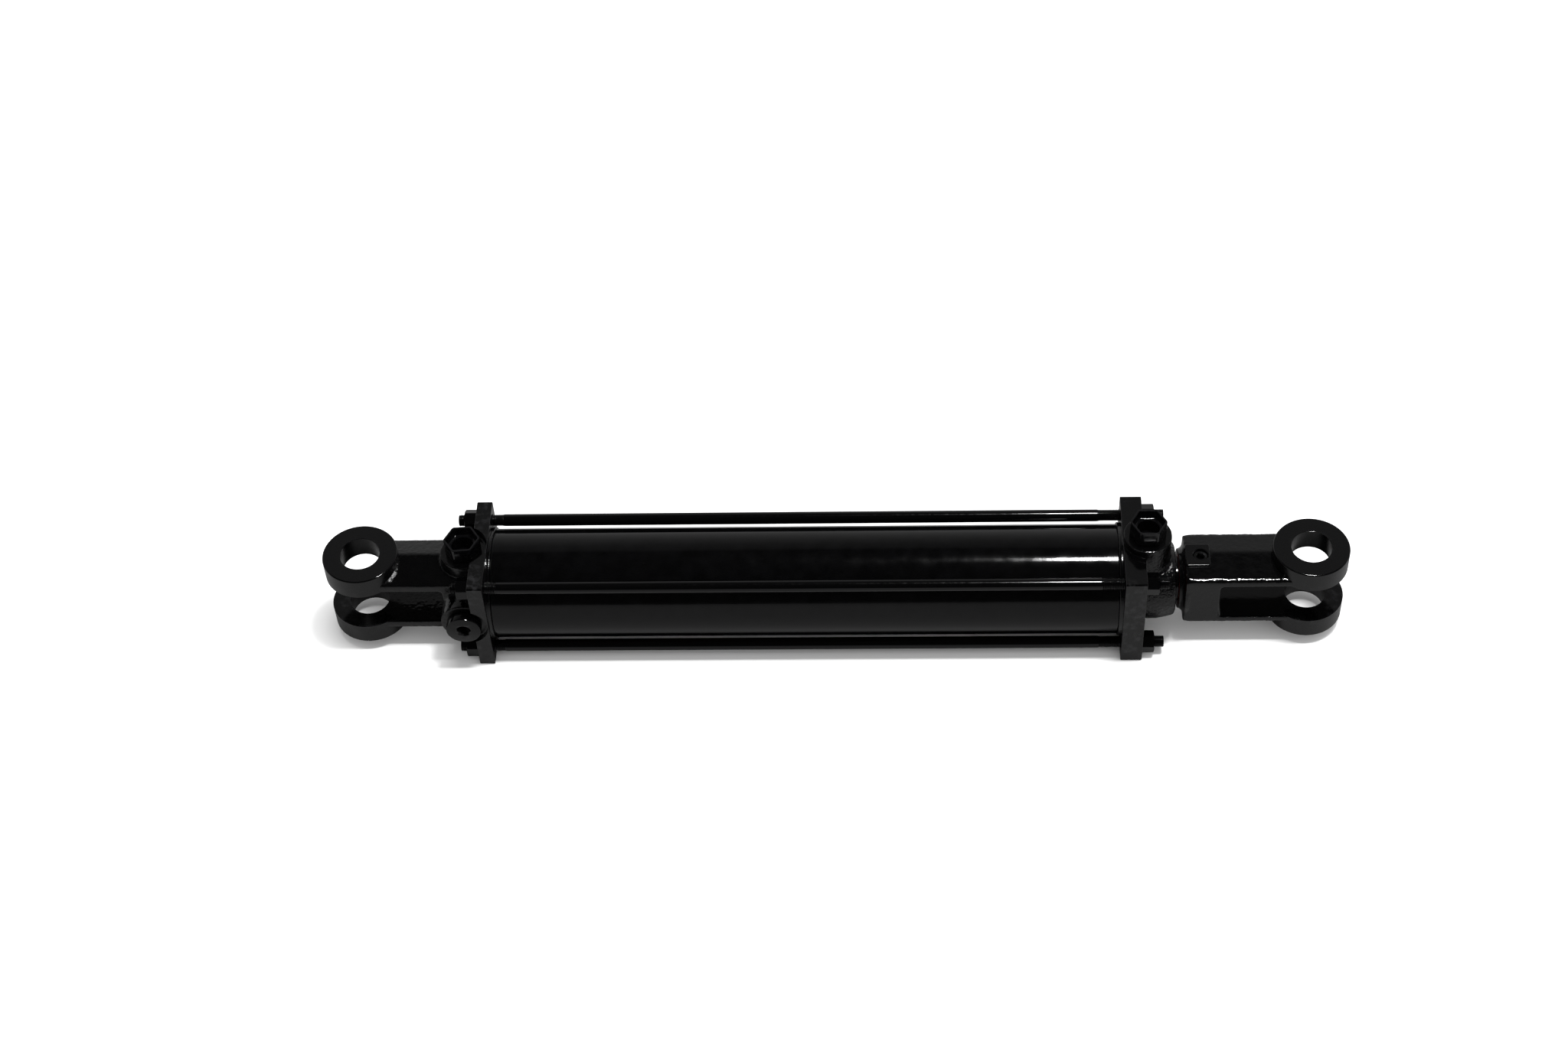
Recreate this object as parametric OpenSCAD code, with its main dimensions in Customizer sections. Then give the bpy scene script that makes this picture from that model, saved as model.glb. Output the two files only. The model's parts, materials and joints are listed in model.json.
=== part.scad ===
// Tie-rod hydraulic cylinder with a clevis at each end.
// Frame: origin at the centre of the base clevis pin bore, +X along the axis towards the rod end,
// +Z up along the pin axes. The cylinder is drawn fully retracted.

/* [Bore and stroke] */
// Inside diameter of the tube
bore_d = 63.5; // [60:0.5:65]
// Wall thickness of the tube
tube_wall = 3.97; // [2.5:0.01:4.5]
// Travel of the piston from end to end
stroke = 355.6; // [100:10:600]
// Diameter of the chromed rod
rod_d = 28.575; // [24:0.5:30]
// Length of the piston
piston_len = 28.2; // [27:0.5:40]

/* [Clevises] */
// Diameter of the pin bores
pin_bore_d = 26; // [20:0.5:28]
// Outside diameter of the round ears
ear_d = 49.2; // [44:0.5:54]
// Overall width across a pair of ears
ear_span = 60.3; // [56:0.5:66]
// Width of the slot between the ears
slot_w = 30.2; // [26:0.2:32]
// Distance from the base pin centre to the bottom of its slot
base_throat = 54; // [46:1:58]
// Distance from the rod pin centre to the bottom of its slot
rod_throat = 58.35; // [46:1:62]
// Width of the base clevis arms
base_arm_w = 40.8; // [36:0.5:44]
// Width of the rod clevis arms
rod_arm_w = 42; // [36:0.5:44]

/* [End castings] */
// Side of the square flanges
flange_side = 76.2; // [75:0.2:82]
// Thickness of the base flange
base_flange_t = 10; // [9:0.5:14]
// Thickness of the head flange
head_flange_t = 13.8; // [12:0.5:18]
// Distance from the base pin centre to the base flange
base_flange_x = 74.5; // [74:0.5:82]
// Length of the head nose beyond its flange
nose_len = 21; // [20:0.5:26]
// Diameter of the head nose beside its flange
nose_d = 52; // [50:0.5:56]
// Diameter of the port bosses
boss_d = 31; // [29:0.5:32]

/* [Tie rods] */
// Distance between tie rods, on the side of their square
tie_pitch = 58.4; // [58:0.2:60]
// Thread diameter of the tie rods
tie_thread_d = 7.94; // [6:0.02:8]
// Width across the flats of the tie-rod nuts
tie_nut_af = 12.7; // [11:0.1:13]
// Thickness of the tie-rod nuts
tie_nut_t = 7.9; // [6:0.1:8.4]

/* [Hidden] */
$fn = 96;

eps = 0.01;
over = 1;

// Radii on the main axis
bore_r = bore_d / 2;
tube_r = bore_r + tube_wall;
rod_r = rod_d / 2;
run_gap = 0.05;
spigot_r = bore_r - run_gap;
shoulder_r = tube_r + 1.2;
ear_r = ear_d / 2;
pin_r = pin_bore_d / 2;

// Places along the axis, from the base pin centre to the rod pin centre
shoulder_w = 2.6;
spigot_len = 10;
end_gap = 0.75;
collar_gap = 1.8;
collar_len = 3.8;
collar_r = 19.5;
clevis_solid = 22.2;
base_flange_end = base_flange_x + base_flange_t;
tube_x0 = base_flange_end + shoulder_w;
tube_len = stroke + piston_len + 2 * end_gap + 2 * spigot_len;
tube_x1 = tube_x0 + tube_len;
piston_x0 = tube_x0 + spigot_len + end_gap;
piston_x1 = piston_x0 + piston_len;
head_flange_x = tube_x1 + shoulder_w;
head_flange_end = head_flange_x + head_flange_t;
nose_end = head_flange_end + nose_len;
collar_x = nose_end + collar_gap;
block_x = collar_x + collar_len;
rod_slot_x = block_x + clevis_solid;
rod_pin_x = rod_slot_x + rod_throat;

// Sections of the clevis arms: height at the sides, height and offset of the parting ridge
base_eave = 20.8;
base_ridge = 25.7;
base_ridge_y = 3.5;
rod_eave = 20.3;
rod_ridge = 23.3;
rod_ridge_y = 2.2;
slot_corner_r = 3;

// Turned end of the rod clevis: its long corners start in a cone, and a fillet joins it to the collar
block_cone_r = 27.5;
block_cone_slope = 0.2;
block_fillet_r = 3.5;

// Flange corners and tie-rod holes
flange_corner_r = 1.5;
tie_hole_r = tie_thread_d / 2 + 0.3;
tie_shank_r = tie_thread_d / 2;
tie_thread_r = tie_shank_r - 0.07;
nut_clear = 0.03;
stud_out_base = 4.2;
stud_out_head = 6.3;
base_thread_len = 30;
head_thread_len = 43;
base_nut_turn = 0;
head_nut_turn = 10.5;

// Ports
boss_r = boss_d / 2;
port_thread_r = 8.7;
port_depth = 15;
base_port_x = base_flange_x - 6;
base_boss_top = 32.2;
base_boss_front = 34;
head_port_x = head_flange_end + 1.8;
head_boss_top = 43.6;
spotface_r = boss_r + 0.2;
passage_r = 4.5;
head_gallery_r = 2.5;
head_gallery_z = 23.8;
nose_taper = 2;
nose_round_r = 2.4;

// Hexagon plugs and the flat socket plug
plug_af = 21;
plug_wall = 1.4;
plug_h = 12;
base_plug_turn = 4;
plug_cup_depth = 7;
plug_bore_r = 7.2;
plug_bore_depth = 17;
plug_thread_len = 12;
socket_plug_r = 11.4;
socket_plug_h = 7;
socket_af = 8;
socket_depth = 6;
plug_ring_h = 1.8;
plug_ring_r = 10.2;

// Static tube seals
oring_w = 3.4;
oring_edge = 0.6;
backup_w = 1.4;
backup_edge = 0.1;
oring_r = bore_r - 2.9;
base_oring_x = tube_x0 + 2.6;
head_oring_x = tube_x1 - 2.6 - oring_w;

// Head bore: bushing, rod seal and wiper
head_bore_r = rod_r + 0.35;
bushing_r = rod_r + 2.4;
bushing_len = 20;
bushing_x = tube_x1 - spigot_len + 2;
rod_seal_r = rod_r + 4.6;
rod_seal_len = 6.4;
cup_half_w = 0.6;
rod_seal_x = bushing_x + bushing_len + 4;
wiper_r = rod_r + 4;
wiper_len = 5.6;
wiper_lip = 1.2;
wiper_x = nose_end - wiper_len - 0.6;

// Base recess for the lock nut
recess_r = 18.5;
lock_nut_af = 28.6;
lock_nut_t = 13.5;
recess_len = 16;

// Rod ends
rod_neck_r = 9.525;
rod_tail = 14.2;
rod_thread_r = 12.7;
rod_thread_x = collar_x + 1.5;
rod_tip_x = rod_slot_x - 1;

// Piston grooves
piston_r = bore_r - 0.2;
seal_w = 5.6;
seal_depth = 4.2;
seal_x = piston_x0 + 5;
energizer_r = bore_r - 2.4;
wear_w = 9.6;
wear_t = 2.2;
wear_x = piston_x1 - 5 - wear_w;
piston_oring_w = 2.6;
piston_oring_r = rod_neck_r + 1.9;
piston_oring_x = piston_x0 + piston_len / 2;

// Set screw in the rod clevis
screw_x = block_x + 10.2;
screw_r = 4.76;
screw_af = 4.8;
screw_tip_gap = 0.1;
screw_sunk = 1.4;
screw_socket_depth = 4;
pad_z = 23.2;
pad_len = 16.1;
pad_w = 17.8;

module tube_along_x(x0, x1, r_out, r_in) {
    difference() {
        disc(x0, x1, r_out);
        disc(x0 - over, x1 + over, r_in);
    }
}

module disc(x0, x1, r) {
    translate([x0, 0, 0]) rotate([0, 90, 0]) cylinder(h = x1 - x0, r = r);
}

module hex_along_x(x0, x1, af) {
    translate([x0, 0, 0]) rotate([0, 90, 0]) cylinder(h = x1 - x0, d = af / cos(30), $fn = 6);
}

module at_tie_rods() {
    for (sy = [-1, 1], sz = [-1, 1])
        translate([0, sy * tie_pitch / 2, sz * tie_pitch / 2]) children();
}

// Square flange with rounded corners, drilled for the tie rods
module flange(x0, x1) {
    half = flange_side / 2;
    corner = half - flange_corner_r;
    difference() {
        union() {
            translate([x0, -half, -corner]) cube([x1 - x0, 2 * half, 2 * corner]);
            translate([x0, -corner, -half]) cube([x1 - x0, 2 * corner, 2 * half]);
            for (sy = [-1, 1], sz = [-1, 1])
                translate([0, sy * corner, sz * corner]) disc(x0, x1, flange_corner_r);
        }
        at_tie_rods() disc(x0 - over, x1 + over, tie_hole_r);
    }
}

// Bar with a low ridge along its top and its bottom
module ridged_bar(x0, x1, width, eave, ridge, ridge_y) {
    half = width / 2;
    translate([x0, 0, 0]) rotate([90, 0, 90]) linear_extrude(height = x1 - x0)
        polygon([[-half, -eave], [ridge_y, -ridge], [half, -eave],
                 [half, eave], [ridge_y, ridge], [-half, eave]]);
}

// Slot between the ears, open beyond the pin, with two rounded corners at its bottom.
// The bottom of the slot is at x = 0 and the slot opens towards -X.
module clevis_slot(throat) {
    depth = throat + ear_r + over;
    span = ear_d + 2 * over;
    flat_w = slot_w - 2 * slot_corner_r;
    translate([-depth, -span / 2, -slot_w / 2]) cube([depth - slot_corner_r, span, slot_w]);
    translate([-depth, -span / 2, -flat_w / 2]) cube([depth, span, flat_w]);
    for (sz = [-1, 1])
        translate([-slot_corner_r, span / 2, sz * flat_w / 2])
            rotate([90, 0, 0]) cylinder(h = span, r = slot_corner_r);
}

module pin_bore() {
    translate([0, 0, -ear_span / 2 - over]) cylinder(h = ear_span + 2 * over, r = pin_r);
}

module ear_round() {
    translate([0, 0, -ear_span / 2]) cylinder(h = ear_span, r = ear_r);
}

// Ring that fills a seal groove, with rounded edges
module seal_ring(x0, width, r_out, r_in, edge) {
    translate([x0, 0, 0]) rotate([0, 90, 0]) rotate_extrude()
        polygon([[r_in, 0], [r_out - edge, 0], [r_out, edge],
                 [r_out, width - edge], [r_out - edge, width], [r_in, width]]);
}

module groove(x0, width, r_out, r_in) {
    tube_along_x(x0, x0 + width, r_out, r_in);
}

// Threaded port from the face at z = top, with a narrower passage on down to z = bottom
module port(top, bottom = 0) {
    passage_len = top - port_depth - bottom + eps;
    translate([0, 0, top - port_depth]) cylinder(h = port_depth + over, r = port_thread_r + run_gap);
    translate([0, 0, bottom]) cylinder(h = passage_len, r = passage_r);
}

module spotface(top) {
    translate([0, 0, top]) cylinder(h = flange_side, r = spotface_r);
}

module boss(top) {
    cylinder(h = top, r = boss_r);
}

module towards_front() {
    rotate([90, 0, 0]) children();
}

module base_cap() {
    color("#1b1b1d") difference() {
        union() {
            ear_round();
            ridged_bar(0, base_flange_x + eps, base_arm_w, base_eave, base_ridge, base_ridge_y);
            flange(base_flange_x, base_flange_end);
            disc(base_flange_x, tube_x0, shoulder_r);
            disc(base_flange_x, tube_x0 + spigot_len, spigot_r);
            translate([base_port_x, 0, 0]) {
                boss(base_boss_top);
                towards_front() boss(base_boss_front);
            }
        }
        pin_bore();
        translate([base_throat, 0, 0]) clevis_slot(base_throat);
        translate([base_port_x, 0, 0]) {
            port(base_boss_top);
            spotface(base_boss_top);
            towards_front() {
                port(base_boss_front);
                spotface(base_boss_front);
            }
        }
        disc(base_port_x - passage_r, tube_x0, passage_r);
        disc(tube_x0 + spigot_len - recess_len, tube_x0 + spigot_len + over, recess_r);
        groove(base_oring_x, oring_w + backup_w, tube_r, oring_r);
    }
}

module head_gland() {
    color("#1b1b1d") difference() {
        union() {
            flange(head_flange_x, head_flange_end);
            disc(tube_x1, head_flange_end, shoulder_r);
            disc(tube_x1 - spigot_len, head_flange_end, spigot_r);
            nose();
            translate([head_port_x, 0, 0]) boss(head_boss_top);
        }
        disc(tube_x1 - spigot_len - over, nose_end + over, head_bore_r);
        disc(tube_x1 - spigot_len - over, bushing_x + bushing_len, bushing_r);
        disc(rod_seal_x, rod_seal_x + rod_seal_len, rod_seal_r);
        disc(wiper_x, nose_end + over, wiper_r);
        translate([head_port_x, 0, 0]) port(head_boss_top, head_gallery_z - head_gallery_r);
        translate([0, 0, head_gallery_z])
            disc(tube_x1 - spigot_len - over, head_port_x, head_gallery_r);
        groove(head_oring_x - backup_w, oring_w + backup_w, tube_r, oring_r);
    }
}

// Nose of the head: a barrel that narrows a little and rounds over at its end face
module nose() {
    end_r = nose_d / 2 - nose_taper;
    straight_len = nose_len * 0.45;
    arc = [for (a = [0 : 15 : 90])
        [end_r - nose_round_r + nose_round_r * cos(a), nose_len - nose_round_r + nose_round_r * sin(a)]];
    translate([head_flange_end, 0, 0]) rotate([0, 90, 0]) rotate_extrude()
        polygon(concat([[0, -over], [nose_d / 2, -over], [nose_d / 2, straight_len]], arc, [[0, nose_len]]));
}

module cylinder_tube() {
    color("#161618") tube_along_x(tube_x0, tube_x1, tube_r, bore_r);
}

module tie_rods() {
    x0 = base_flange_x - tie_nut_t - stud_out_base;
    x1 = head_flange_end + tie_nut_t + stud_out_head;
    color("#141416") at_tie_rods() {
        disc(x0, x0 + base_thread_len, tie_thread_r);
        disc(x0 + base_thread_len, x1 - head_thread_len, tie_shank_r);
        disc(x1 - head_thread_len, x1, tie_thread_r);
    }
}

module tie_nut(x0, turn) {
    rotate([turn, 0, 0]) difference() {
        hex_along_x(x0, x0 + tie_nut_t, tie_nut_af);
        disc(x0 - over, x0 + tie_nut_t + over, tie_thread_r + nut_clear);
    }
}

module base_nuts() {
    color("#1b1b1d") at_tie_rods() tie_nut(base_flange_x - tie_nut_t, base_nut_turn);
}

module head_nuts() {
    color("#1b1b1d") at_tie_rods() tie_nut(head_flange_end, head_nut_turn);
}

// Hexagon plug standing on a port face at z = 0, with a hexagon cup and a round blind hole below it
module hex_plug() {
    difference() {
        union() {
            cylinder(h = plug_h, d = plug_af / cos(30), $fn = 6);
            translate([0, 0, -plug_thread_len]) cylinder(h = plug_thread_len + eps, r = port_thread_r);
        }
        translate([0, 0, plug_h - plug_cup_depth])
            cylinder(h = plug_cup_depth + over, d = (plug_af - 2 * plug_wall) / cos(30), $fn = 6);
        translate([0, 0, plug_h - plug_bore_depth]) cylinder(h = plug_bore_depth, r = plug_bore_r);
    }
}

module base_port_plug() {
    color("#0d0d0e") translate([base_port_x, 0, base_boss_top])
        rotate([0, 0, base_plug_turn]) hex_plug();
}

module head_port_plug() {
    color("#0d0d0e") translate([head_port_x, 0, head_boss_top]) hex_plug();
}

module side_port_plug() {
    color("#1b1b1d") translate([base_port_x, 0, 0]) towards_front() translate([0, 0, base_boss_front])
        difference() {
            union() {
                cylinder(h = socket_plug_h, r = socket_plug_r);
                translate([0, 0, -plug_thread_len]) cylinder(h = plug_thread_len + eps, r = port_thread_r);
            }
            translate([0, 0, socket_plug_h - socket_depth])
                cylinder(h = socket_depth + over, d = socket_af / cos(30), $fn = 6);
            difference() {
                translate([0, 0, -eps]) cylinder(h = plug_ring_h + eps, r = plug_ring_r);
                translate([0, 0, -over]) cylinder(h = plug_ring_h + 2 * over, r = port_thread_r);
            }
        }
}

module side_plug_oring() {
    color("#0a0a0a") translate([base_port_x, 0, 0]) towards_front()
        translate([0, 0, base_boss_front]) difference() {
            cylinder(h = plug_ring_h, r = plug_ring_r);
            translate([0, 0, -over]) cylinder(h = plug_ring_h + 2 * over, r = port_thread_r);
        }
}

module base_tube_oring() {
    color("#0a0a0a") seal_ring(base_oring_x, oring_w, bore_r, oring_r, oring_edge);
}

module base_backup_ring() {
    color("#8a5a2b") seal_ring(base_oring_x + oring_w, backup_w, bore_r, oring_r, backup_edge);
}

module head_tube_oring() {
    color("#0a0a0a") seal_ring(head_oring_x, oring_w, bore_r, oring_r, oring_edge);
}

module head_backup_ring() {
    color("#8a5a2b") seal_ring(head_oring_x - backup_w, backup_w, bore_r, oring_r, backup_edge);
}

module rod_bushing() {
    color("#b8863b") tube_along_x(bushing_x, bushing_x + bushing_len, bushing_r, rod_r + run_gap);
}

// U-cup with its open side towards the pressure
module rod_seal() {
    lip = rod_seal_len / 2;
    inner = rod_r + run_gap;
    mid = (inner + rod_seal_r) / 2;
    color("#7b1f1a") translate([rod_seal_x, 0, 0]) rotate([0, 90, 0]) rotate_extrude()
        polygon([[inner, 0], [mid - cup_half_w, 0], [mid, lip], [mid + cup_half_w, 0], [rod_seal_r, 0],
                 [rod_seal_r, rod_seal_len], [inner, rod_seal_len]]);
}

// Wiper whose lip leans outwards onto the rod
module rod_wiper() {
    inner = rod_r + run_gap;
    shoulder = wiper_len * 0.75;
    color("#7b1f1a") translate([wiper_x, 0, 0]) rotate([0, 90, 0]) rotate_extrude()
        polygon([[inner + wiper_lip, 0], [wiper_r, 0], [wiper_r, shoulder],
                 [inner, wiper_len], [inner, wiper_len - wiper_lip]]);
}

module piston() {
    color("#77787c") difference() {
        disc(piston_x0, piston_x1, piston_r);
        disc(piston_x0 - over, piston_x1 + over, rod_neck_r + eps);
        groove(seal_x, seal_w, bore_r, bore_r - seal_depth);
        groove(wear_x, wear_w, bore_r, bore_r - wear_t - run_gap);
        disc(piston_oring_x, piston_oring_x + piston_oring_w, piston_oring_r);
    }
}

module piston_lock_nut() {
    color("#8d8f93") difference() {
        hex_along_x(piston_x0 - lock_nut_t, piston_x0, lock_nut_af);
        disc(piston_x0 - lock_nut_t - over, piston_x0 + over, rod_neck_r + nut_clear);
    }
}

module piston_rod_oring() {
    color("#0a0a0a") tube_along_x(piston_oring_x, piston_oring_x + piston_oring_w,
                                  piston_oring_r, rod_neck_r + eps);
}

module piston_seal() {
    color("#2c5d3a")
        tube_along_x(seal_x + run_gap, seal_x + seal_w - run_gap, bore_r - run_gap, energizer_r);
}

module piston_energizer() {
    color("#0a0a0a")
        tube_along_x(seal_x + run_gap, seal_x + seal_w - run_gap, energizer_r, bore_r - seal_depth + run_gap);
}

module piston_wear_ring() {
    color("#6d5a33")
        tube_along_x(wear_x + run_gap, wear_x + wear_w - run_gap, bore_r - run_gap, bore_r - wear_t);
}

module piston_rod() {
    color("#c9ccd1") {
        disc(piston_x0 - rod_tail, piston_x1, rod_neck_r);
        disc(piston_x1, rod_thread_x, rod_r);
        disc(rod_thread_x, rod_tip_x, rod_thread_r);
    }
}

module rod_block() {
    cone_len = 20;
    intersection() {
        ridged_bar(block_x, rod_pin_x, rod_arm_w, rod_eave, rod_ridge, rod_ridge_y);
        translate([block_x, 0, 0]) rotate([0, 90, 0]) rotate_extrude()
            polygon([[0, 0], [block_cone_r, 0], [block_cone_r + block_cone_slope * cone_len, cone_len],
                     [block_cone_r + block_cone_slope * cone_len, rod_pin_x - block_x],
                     [0, rod_pin_x - block_x]]);
    }
}

module collar() {
    arc = [for (a = [0 : 15 : 90])
        [collar_r + block_fillet_r * (1 - cos(a)), collar_len - block_fillet_r * (1 - sin(a))]];
    translate([collar_x, 0, 0]) rotate([0, 90, 0]) rotate_extrude()
        polygon(concat([[0, 0], [collar_r, 0]], arc, [[0, collar_len + eps]]));
}

module rod_clevis() {
    color("#1b1b1d") difference() {
        union() {
            translate([rod_pin_x, 0, 0]) ear_round();
            rod_block();
            collar();
            translate([block_x, -pad_w / 2, 0]) cube([pad_len, pad_w, pad_z]);
        }
        translate([rod_pin_x, 0, 0]) pin_bore();
        translate([rod_slot_x, 0, 0]) mirror([1, 0, 0]) clevis_slot(rod_throat);
        disc(collar_x - over, rod_thread_x, rod_r + run_gap);
        disc(collar_x - over, rod_slot_x + over, rod_thread_r + eps);
        translate([block_x - over, -pad_w / 2, pad_z]) cube([pad_len + over, pad_w, rod_ridge]);
        translate([screw_x, 0, 0]) cylinder(h = rod_ridge + over, r = screw_r + nut_clear);
    }
}

module clevis_set_screw() {
    screw_z0 = rod_thread_r + screw_tip_gap;
    screw_z1 = pad_z - screw_sunk;
    color("#101012") translate([screw_x, 0, 0]) difference() {
        translate([0, 0, screw_z0]) cylinder(h = screw_z1 - screw_z0, r = screw_r);
        translate([0, 0, screw_z1 - screw_socket_depth])
            cylinder(h = screw_socket_depth + over, d = screw_af / cos(30), $fn = 6);
    }
}

base_cap();
head_gland();
cylinder_tube();
tie_rods();
base_nuts();
head_nuts();
base_port_plug();
head_port_plug();
side_port_plug();
side_plug_oring();
base_tube_oring();
base_backup_ring();
head_tube_oring();
head_backup_ring();
rod_bushing();
rod_seal();
rod_wiper();
piston();
piston_lock_nut();
piston_rod_oring();
piston_seal();
piston_energizer();
piston_wear_ring();
piston_rod();
rod_clevis();
clevis_set_screw();
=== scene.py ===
"""Looks of a tie-rod hydraulic cylinder with a clevis at each end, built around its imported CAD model.

Shapes are drawn in millimetres in the part's own frame and scaled to metres when they are placed.
The cylinder's axis is X, the clevis pins run along Z, and the ports face +Z and -Y.
"""

import json
import math

import bmesh
import bpy
from mathutils import Matrix, Vector, noise

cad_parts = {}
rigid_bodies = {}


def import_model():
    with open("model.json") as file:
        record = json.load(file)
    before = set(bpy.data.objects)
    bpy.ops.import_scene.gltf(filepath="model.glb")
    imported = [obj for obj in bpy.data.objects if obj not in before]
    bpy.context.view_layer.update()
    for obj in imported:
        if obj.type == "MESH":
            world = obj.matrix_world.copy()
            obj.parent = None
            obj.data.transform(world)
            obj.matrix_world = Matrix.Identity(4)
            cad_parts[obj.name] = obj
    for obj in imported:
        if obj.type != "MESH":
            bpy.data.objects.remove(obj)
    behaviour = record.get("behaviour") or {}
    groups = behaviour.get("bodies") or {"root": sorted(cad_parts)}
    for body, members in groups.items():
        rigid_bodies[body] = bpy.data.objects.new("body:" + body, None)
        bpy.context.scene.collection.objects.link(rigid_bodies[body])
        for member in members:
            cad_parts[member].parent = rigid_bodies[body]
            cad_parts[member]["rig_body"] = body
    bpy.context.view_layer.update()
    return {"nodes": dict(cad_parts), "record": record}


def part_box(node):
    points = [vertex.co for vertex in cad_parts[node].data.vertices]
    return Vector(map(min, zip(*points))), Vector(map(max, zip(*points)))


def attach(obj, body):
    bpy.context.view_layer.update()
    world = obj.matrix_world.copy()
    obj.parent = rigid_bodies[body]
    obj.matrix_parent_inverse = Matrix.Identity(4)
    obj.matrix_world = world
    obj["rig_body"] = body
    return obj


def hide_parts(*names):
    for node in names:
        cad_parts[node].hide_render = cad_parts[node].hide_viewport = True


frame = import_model()

# ---------------------------------------------------------------- sizes

MM = 0.001


def node_box(node):
    """Lowest and highest corner of a CAD node, in millimetres."""
    low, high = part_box(node)
    return low / MM, high / MM


def node_centre(node):
    low, high = node_box(node)
    return (low + high) / 2


base_low, base_high = node_box("base_cap")
head_low, head_high = node_box("head_gland")
tube_low, tube_high = node_box("cylinder_tube")
clevis_low, clevis_high = node_box("rod_clevis")
tie_low, tie_high = node_box("tie_rods")
base_nut_high = node_box("base_nuts")[1]
head_nut_low = node_box("head_nuts")[0]
base_plug_high = node_box("base_port_plug")[1]
side_plug_low, side_plug_high = node_box("side_port_plug")

tube_r = tube_high.z
bore_gap = 0.05
bore_r = node_box("piston_wear_ring")[1].z + bore_gap
rod_r = node_box("piston_rod")[1].z
spigot_r = bore_r - bore_gap
shoulder_r = tube_r + 1.2
ear_r = -base_low.x
ear_half = clevis_high.z
pin_r = frame["record"]["mounts"][0]["dims"]["r_mm"]
slot_half = 15.1
slot_corner_r = 3.0

flange_half = base_high.y
flange_cut = 0.9
base_flange_x = base_nut_high.x
base_flange_end = base_flange_x + 10.0
head_flange_x = tube_high.x + 2.6
head_flange_end = head_nut_low.x
nose_end = head_high.x
nose_r = 26.0
nose_taper = 2.0

base_throat = 54.0
base_recess_depth = 16.0
base_recess_r = 18.5
rod_pin_x = clevis_high.x - ear_r
collar_x = clevis_low.x
collar_r = 19.5
block_x = collar_x + 3.8
rod_slot_x = block_x + 22.2
pad_end = block_x + 16.1
pad_half = 8.9
pad_z = 23.2
screw_x = node_centre("clevis_set_screw").x
screw_r = 4.76

boss_r = 15.5
spotface_r = 15.7
port_r = 8.75
port_depth = 15.0
passage_r = 4.5
plug_h = 12.0
gallery_z = 23.8
base_port_x = node_centre("base_port_plug").x
base_boss_top = base_plug_high.z - plug_h
base_boss_front = 34.0
head_port_x = node_centre("head_port_plug").x
head_boss_top = head_high.z

tie_thread_r = 3.9
tie_shank_r = 3.97
tie_offset = tie_high.y - tie_shank_r
thread_pitch = 1.058
base_thread_len = 30.0
head_thread_len = 43.0

# Groove for the tube's O-ring and backup ring, from the tube's end inwards
groove_near = 2.6
groove_far = 7.4
groove_depth = 2.9

# Voxel of the rough castings and of the finished ones
CORE_VOXEL = 0.9
FINE_VOXEL = 0.57

# Height that a boss is drawn above its face, to be cut off again by the spot face
BOSS_STOCK = 0.6

# Turns that a rounded edge is drawn through, and the finer ones of a fillet
EDGE_TURNS = [math.radians(a) for a in range(0, 91, 18)]
FILLET_TURNS = [math.pi / 2 * k / 6 for k in range(7)]

# Sockets of a Mix node that mixes colours
MIX_A, MIX_B, MIX_RESULT = 6, 7, 2


# ---------------------------------------------------------------- mesh tools

def new_object(name, points, faces):
    mesh = bpy.data.meshes.new(name)
    mesh.from_pydata([tuple(p) for p in points], [], faces)
    work = bmesh.new()
    work.from_mesh(mesh)
    bmesh.ops.recalc_face_normals(work, faces=work.faces)
    work.to_mesh(mesh)
    work.free()
    obj = bpy.data.objects.new(name, mesh)
    bpy.context.scene.collection.objects.link(obj)
    return obj


def skin(name, rings, loop=False):
    """Closed solid through rings with the same number of points.

    A loop joins its last ring to its first.
    """
    count = len(rings[0])
    spans = len(rings) if loop else len(rings) - 1
    faces = []
    for i in range(spans):
        a = i * count
        b = (i + 1) % len(rings) * count
        for k in range(count):
            after = (k + 1) % count
            faces.append((a + k, a + after, b + after, b + k))
    if not loop:
        last = (len(rings) - 1) * count
        faces.append(tuple(range(count)))
        faces.append(tuple(range(last, last + count)))
    return new_object(name, [p for ring in rings for p in ring], faces)


def on_axis(axis, along, a, b):
    """A point given along an axis and across it: X, Z, or F for the front, which is -Y."""
    if axis == "X":
        return Vector((along, a, b))
    if axis == "Z":
        return Vector((a, b, along))
    return Vector((a, -along, b))


def stack(name, axis, steps, outline, centre=(0, 0, 0), loop=False):
    """Solid through the outlines that outline(inset) gives at each (along, inset) step."""
    origin = Vector(centre)
    rings = []
    for along, inset in steps:
        rings.append([origin + on_axis(axis, along, a, b) for a, b in outline(inset)])
    return skin(name, rings, loop)


def round_outline(radius, segments):
    """Function of an inset that gives a circle with that much taken off its radius."""
    def outline(inset):
        r = radius - inset
        turns = [2 * math.pi * k / segments for k in range(segments)]
        return [(r * math.cos(t), r * math.sin(t)) for t in turns]
    return outline


def lathe(name, axis, profile, centre=(0, 0, 0), loop=False, segments=96):
    """Solid of revolution through (along, radius) points."""
    steps = [(along, -radius) for along, radius in profile]
    return stack(name, axis, steps, round_outline(0.0, segments), centre, loop)


def rounded(corners, radii, steps=6):
    """Outline through corners, with each corner made an arc of its radius."""
    points = []
    count = len(corners)
    for i, corner in enumerate(corners):
        here = Vector(corner)
        before = (Vector(corners[i - 1]) - here).normalized()
        after = (Vector(corners[(i + 1) % count]) - here).normalized()
        half = before.angle(after) / 2
        reach = radii[i] / math.tan(half)
        centre = here + (before + after).normalized() * (radii[i] / math.sin(half))
        start = here + before * reach - centre
        end = here + after * reach - centre
        for k in range(steps + 1):
            points.append(tuple(centre + start.slerp(end, k / steps).normalized() * radii[i]))
    return points


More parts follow.
